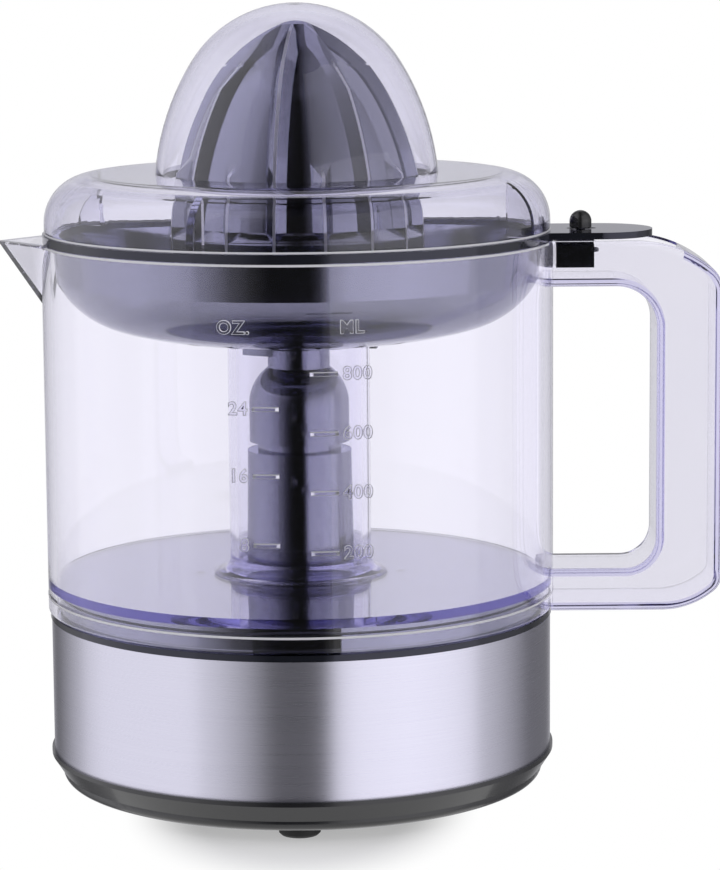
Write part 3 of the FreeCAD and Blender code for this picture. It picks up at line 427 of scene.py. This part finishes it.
def bent(mesh_data, name):
    """A flat mesh, x along the wall and y up, wrapped onto the jug's front with its z as relief."""
    for vertex in mesh_data.vertices:
        angle = vertex.co.x / jug_radius
        reach = jug_radius - mark_sink + vertex.co.z
        vertex.co = (reach * math.sin(angle), -reach * math.cos(angle), vertex.co.y)
    piece = placed(name, mesh_data)
    mesh_data.materials.clear()
    mesh_data.materials.append(mark_clear)
    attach(piece, "jug")
    return piece


def lettering(text, name, x, z, align):
    """Raised letters with sloped sides, at a place along the wall and a height."""
    curve = bpy.data.curves.new(name, "FONT")
    curve.body = text
    curve.size = letter_height / letter_share
    curve.align_x = align
    curve.align_y = "CENTER"
    curve.extrude = mark_relief / 2.0 - mark_slope
    curve.bevel_depth = mark_slope
    curve.bevel_resolution = 0
    curve.offset = letter_weight
    curve.space_character = 1.12
    holder = placed(name + "_text", curve)
    bpy.context.view_layer.update()
    solid = holder.evaluated_get(bpy.context.evaluated_depsgraph_get())
    flat = bpy.data.meshes.new_from_object(solid)
    bpy.data.objects.remove(holder)
    for vertex in flat.vertices:
        vertex.co = (vertex.co.x + x, vertex.co.y + z, vertex.co.z + mark_relief / 2.0)
    return bent(flat, name)


def dash(name, x0, x1, z):
    """A raised bar with sloped sides and ends."""
    steps = 8
    end_rise = mark_relief * 0.4
    top_half = dash_half * 0.6
    builder = bmesh.new()
    rows = []
    for k in range(steps + 1):
        x = x0 + (x1 - x0) * k / steps
        rise = mark_relief if 0 < k < steps else end_rise
        corners = (
            (z - dash_half, 0.0),
            (z - top_half, rise),
            (z + top_half, rise),
            (z + dash_half, 0.0),
        )
        rows.append([builder.verts.new((x, y, lift)) for y, lift in corners])
    for a, b in zip(rows, rows[1:]):
        for k in range(4):
            builder.faces.new((a[k], b[k], b[(k + 1) % 4], a[(k + 1) % 4]))
    builder.faces.new(rows[0])
    builder.faces.new(reversed(rows[-1]))
    bmesh.ops.recalc_face_normals(builder, faces=builder.faces)
    flat = bpy.data.meshes.new(name)
    builder.to_mesh(flat)
    builder.free()
    return bent(flat, name)


for amount, height in ((200, 0.0774), (400, 0.0930), (600, 0.1083), (800, 0.1236)):
    dash(f"mark_ml_{amount}", 0.0040, 0.0112, height)
    lettering(str(amount), f"number_ml_{amount}", 0.0124, height, "LEFT")
for amount, height in ((8, 0.0795), (16, 0.0974), (24, 0.1147)):
    dash(f"mark_oz_{amount}", -0.0108, -0.0040, height)
    lettering(str(amount), f"number_oz_{amount}", -0.0120, height, "RIGHT")
for text, name, x in (("OZ.", "heading_oz", -0.0155), ("ML", "heading_ml", 0.0148)):
    heading = lettering(text, name, x, heading_level, "CENTER")
    heading.data.materials[0] = heading_clear
    heading.visible_glossy = False
    heading.visible_transmission = False


# Rounds on the edges of the clear pieces, painted pale as highlight lines, and at the foot of the
# jug's column

def turned(name, body, profile, finish, start=0.0, end=360.0):
    """A closed ring, or an arc with ends, from a profile of radius and height."""
    step_angle = 3.75
    whole = end - start >= 360.0
    steps = round((end - start) / step_angle)
    size = len(profile)
    corners = []
    for k in range(steps if whole else steps + 1):
        angle = math.radians(start + (end - start) * k / steps)
        corners += [(r * math.cos(angle), r * math.sin(angle), z) for r, z in profile]
    faces = []
    for k in range(steps):
        after = (k + 1) % steps if whole else k + 1
        for j in range(size):
            up = (j + 1) % size
            faces.append((k * size + j, after * size + j, after * size + up, k * size + up))
    if not whole:
        faces.append(tuple(reversed(range(size))))
        faces.append(tuple(range(steps * size, steps * size + size)))
    flat = bpy.data.meshes.new(name)
    flat.from_pydata(corners, [], faces)
    flat.materials.append(finish)
    flat.shade_smooth()
    piece = placed(name, flat)
    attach(piece, body)


def bead(name, body, radius, level, start=0.0, end=360.0):
    """A fine round along an outer edge, which catches the light and is also painted milky as a pale
    highlight line.
    """
    half_height, half_width = 0.00034, 0.00018
    root = radius - 0.0001
    centre = radius - 0.00005
    profile = [(root, level - half_height)]
    for degrees in range(-60, 61, 30):
        tilt = math.radians(degrees)
        profile.append((centre + half_width * math.cos(tilt), level + half_height * math.sin(tilt)))
    profile.append((root, level + half_height))
    turned(name, body, profile, edge_highlight_clear, start, end)


lid_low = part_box("dome_lid")[0]
lid_radius = -lid_low.y
lid_edge_level = lid_low.z + 0.0004
jug_rim_level = jug_high.z - 0.0005
jug_floor_level = 0.0553
# The jug's top edge is left open at the spout and at the handle
bead("jug_edge_front", "jug", jug_radius, jug_rim_level, 194.0, 346.0)
bead("jug_edge_back", "jug", jug_radius, jug_rim_level, 14.0, 166.0)
bead("jug_floor_edge", "jug", jug_radius, jug_floor_level)
bead("lid_edge", "lid", lid_radius, lid_edge_level)

column_radius = 0.0194
foot_level = 0.06
foot_round = 0.0045
foot_sink = 0.00008
foot_profile = [
    (column_radius - foot_sink, foot_level + foot_round),
    (column_radius - foot_sink, foot_level - foot_sink),
    (column_radius + foot_round, foot_level - foot_sink),
]
for degrees in range(270, 179, -9):
    angle = math.radians(degrees)
    reach = column_radius + foot_round * (1.0 + math.cos(angle))
    foot_profile.append((reach, foot_level + foot_round * (1.0 + math.sin(angle))))
turned("column_foot", "jug", foot_profile, clear)


# Floor, surrounds, light and camera

def is_seen(tree):
    """1 for what the camera sees by itself, in a gloss or through something clear."""
    path = tree.nodes.new("ShaderNodeLightPath")
    total = path.outputs["Is Camera Ray"]
    for name in ("Is Glossy Ray", "Is Transmission Ray"):
        total = math_node(tree, "MAXIMUM", total, path.outputs[name])
    return total


def mix_shaders(tree, share, first, second, output):
    """A blend of two shaders by a share, on an output node's surface."""
    mix = tree.nodes.new("ShaderNodeMixShader")
    tree.links.new(share, mix.inputs["Fac"])
    tree.links.new(first, mix.inputs[1])
    tree.links.new(second, mix.inputs[2])
    tree.links.new(mix.outputs["Shader"], tree.nodes[output].inputs["Surface"])


def floor_material():
    """White, and lit by itself away from the object, so that only the shadow near it shows."""
    shadow_radius, clear_radius = 0.045, 0.078
    shadow_glow = 0.4
    made, tree, shader = new_material("floor")
    set_inputs(shader, Base_Color=(0.86, 0.86, 0.87, 1.0), Roughness=0.9)
    glow = add(tree, "ShaderNodeEmission", Color=(1.0, 1.0, 1.0, 1.0))
    place = tree.nodes.new("ShaderNodeNewGeometry")
    centred = add(tree, "ShaderNodeMapping", Location=(0.0, 0.03, 0.0), Scale=(1.6, 1.0, 1.0))
    tree.links.new(place.outputs["Position"], centred.inputs["Vector"])
    reach = vector_node(tree, "LENGTH", centred.outputs["Vector"]).outputs["Value"]
    fade = ranged(tree, reach, shadow_radius, clear_radius, shadow_glow, 1.0, "SMOOTHSTEP")
    share = math_node(tree, "MULTIPLY", fade, is_seen(tree))
    mix_shaders(tree, share, shader.outputs["BSDF"], glow.outputs["Emission"], "Material Output")
    return made


def surround_material():
    """The grey that each corner of a surround carries, which needs no light."""
    made, tree = new_material("surround")[:2]
    grey = tree.nodes.new("ShaderNodeVertexColor")
    grey.layer_name = "grey"
    even = tree.nodes.new("ShaderNodeEmission")
    tree.links.new(grey.outputs["Color"], even.inputs["Color"])
    tree.links.new(even.outputs["Emission"], tree.nodes["Material Output"].inputs["Surface"])
    return made


def stage_sheet(name, corners, faces, finish):
    flat = bpy.data.meshes.new(name)
    flat.from_pydata(corners, [], faces)
    flat.materials.append(finish)
    piece = placed(name, flat)
    return piece


surround_finish = surround_material()
blue_share = 1.04
drum_radius = 1.6
drum_low, drum_high = -1.4, 2.6


def surround(name, rows, columns, place, bare, through):
    """A sheet with a table of greys, blended, for gloss seen bare or through clear walls."""
    corners, greys = [], []
    for row, levels in rows:
        for column, level in zip(columns, levels):
            corners.append(place(column, row))
            greys += (level, level, level * blue_share, 1.0)
    wide = len(columns)
    starts = [k for k in range(len(corners) - wide) if (k + 1) % wide]
    faces = [(k, k + 1, k + 1 + wide, k + wide) for k in starts]
    piece = stage_sheet(name, corners, faces, surround_finish)
    shades = piece.data.color_attributes.new("grey", "FLOAT_COLOR", "POINT")
    shades.data.foreach_set("color", greys)
    piece.visible_camera = False
    piece.visible_diffuse = False
    piece.visible_shadow = False
    piece.visible_glossy = bare
    piece.visible_transmission = through


def upright(bearing, height):
    """A point of a drum round the object, at a bearing from the front."""
    angle = math.radians(bearing)
    return (drum_radius * math.sin(angle), -drum_radius * math.cos(angle), height)


def overhead(across, along):
    """A point of the drum's cover."""
    return (across, along, drum_high)


floor_radius = 0.5
floor_sides = 64
floor_corners = []
for k in range(floor_sides):
    angle = 2.0 * math.pi * k / floor_sides
    floor_corners.append((floor_radius * math.cos(angle), floor_radius * math.sin(angle), 0.0))
floor = stage_sheet("floor", floor_corners, [tuple(range(floor_sides))], floor_material())
floor.visible_glossy = False
floor.visible_transmission = False

# Pairs of a bearing and its grey
steel_table = (
    (-180, 0.56), (-166, 0.56), (-156, 0.2), (-148, 0.16), (-136, 0.34), (-120, 0.68),
    (-100, 0.98), (-50, 1.0), (-38, 0.85), (-24, 0.5), (-12, 0.1), (10, 0.1), (16, 0.75),
    (24, 1.0), (50, 1.1), (72, 1.0), (100, 0.65), (126, 0.2), (156, 0.2), (166, 0.56), (180, 0.56),
)
steel_bearings, steel_greys = zip(*steel_table)
steel_rows = ((drum_low, steel_greys), (drum_high, steel_greys))
surround("steel_surround", steel_rows, steel_bearings, upright, bare=True, through=False)

# A row of greys for each height, from the left over the front to the right
clear_bearings = (-110, -90, -75, -55, -42, -30, -20, -10, 7, 11, 16, 24, 50, 75, 90, 110)
clear_heights = (drum_low, -0.3, 0.0, 1.0, drum_high)
clear_greys = (
    (1.0, 1.25, 1.25, 0.95, 0.6, 0.14, 0.02, 0.0, 0.0, 0.08, 0.5, 0.9, 1.2, 1.0, 0.9, 0.9),
    (1.0, 1.15, 1.15, 0.9, 0.55, 0.14, 0.02, 0.0, 0.0, 0.08, 0.55, 0.9, 1.15, 1.0, 0.9, 0.9),
    (1.0, 1.0, 0.9, 0.65, 0.35, 0.15, 0.03, 0.0, 0.0, 0.1, 0.55, 0.9, 1.0, 1.0, 0.9, 0.9),
    (1.2, 1.1, 1.0, 0.75, 0.55, 0.34, 0.14, 0.02, 0.0, 0.06, 0.18, 0.28, 0.48, 0.7, 0.75, 0.6),
    (1.2, 1.1, 1.0, 0.75, 0.55, 0.34, 0.14, 0.02, 0.0, 0.06, 0.18, 0.28, 0.45, 0.6, 0.6, 0.5),
)
clear_rows = zip(clear_heights, clear_greys)
surround("clear_surround", clear_rows, clear_bearings, upright, bare=False, through=True)

sky_reaches = (-drum_radius, -1.2, -0.7, -0.35, -0.1, 0.1, 0.35, 0.7, 1.2, drum_radius)
sky_greys = (1.0, 0.95, 0.6, 0.25, 0.03, 0.02, 0.2, 0.4, 0.5, 0.6)
sky_rows = ((-drum_radius, sky_greys), (drum_radius, sky_greys))
surround("clear_sky", sky_rows, sky_reaches, overhead, bare=True, through=True)

world = bpy.data.worlds.new("studio")
scene.world = world
world.use_nodes = True
world_tree = world.node_tree
plain = world_tree.nodes["Background"]
set_inputs(plain, Color=(0.65, 0.65, 0.67, 1.0))
white = add(world_tree, "ShaderNodeBackground", Color=(1.0, 1.0, 1.0, 1.0))
mix_shaders(
    world_tree,
    is_seen(world_tree),
    plain.outputs["Background"],
    white.outputs["Background"],
    "World Output",
)


def softbox(name, span, distance, low, high, radiance):
    """An upright panel of light between two bearings from the front, which faces the object."""
    angle = math.radians((span[0] + span[1]) / 2.0)
    width = 2.0 * distance * math.tan(math.radians(span[1] - span[0]) / 2.0)
    light = bpy.data.lights.new(name, "AREA")
    light.shape = "RECTANGLE"
    light.size = width
    light.size_y = high - low
    light.energy = radiance * math.pi * width * (high - low)
    light.color = (0.97, 0.96, 1.0)
    panel = placed(name, light)
    panel.location = (math.sin(angle) * distance, -math.cos(angle) * distance, (low + high) / 2.0)
    panel.rotation_mode = "QUATERNION"
    inwards = Vector((-math.sin(angle), math.cos(angle), 0.0))
    panel.rotation_quaternion = inwards.to_track_quat("-Z", "Y")
    panel.visible_camera = False


softbox("left_box", (-116.0, -46.0), distance=1.2, low=-1.2, high=2.2, radiance=0.15)
softbox("right_box", (14.5, 86.0), distance=1.2, low=-1.2, high=0.5, radiance=0.3)

camera_data = bpy.data.cameras.new("camera")
camera_data.sensor_width = 36.0
camera_data.lens = 141.1
camera = placed("camera", camera_data)
camera.location = (0.0166, -0.9253, 0.2390)
pitch = math.radians(8.7)
roll = math.radians(-0.45)
camera.rotation_mode = "QUATERNION"
ahead = Vector((0.0, math.cos(pitch), -math.sin(pitch)))
camera.rotation_quaternion = ahead.to_track_quat("-Z", "Y") @ Quaternion((0.0, 0.0, 1.0), roll)
scene.camera = camera
